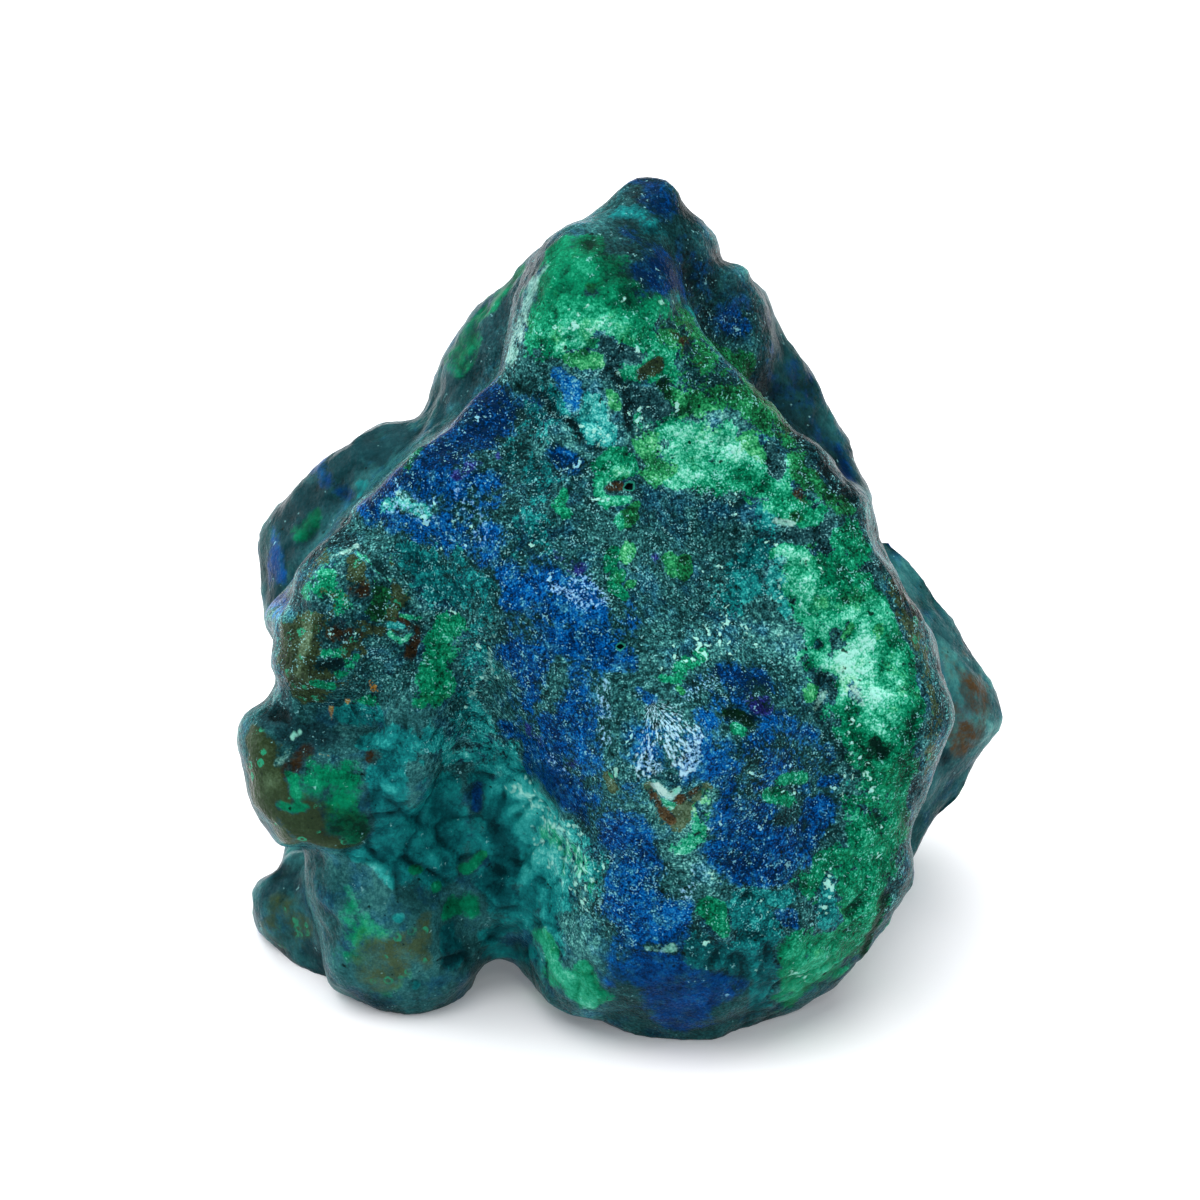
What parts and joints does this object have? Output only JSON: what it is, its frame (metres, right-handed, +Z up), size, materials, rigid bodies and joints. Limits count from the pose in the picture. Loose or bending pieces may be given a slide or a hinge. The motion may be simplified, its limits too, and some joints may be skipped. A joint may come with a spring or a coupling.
{
  "type": "azurite malachite specimen",
  "caption": "Tumbled lump of azurite and malachite rock with a leaning rounded face, a crest, side knobs and a flat foot it rests on.",
  "frame": {"origin": "centre of the specimen's plan, on the plane of its flat foot", "axes": "+X to the specimen's right as seen from the front, +Y to its back, +Z up; the broad front face looks along -Y and leans back"},
  "size_m": [0.0362, 0.0276, 0.0366],
  "materials": {
    "stone": "tumbled satin polish"
  },
  "bodies": {
    "root": {"specimen": "stone"}
  },
  "joints": []
}
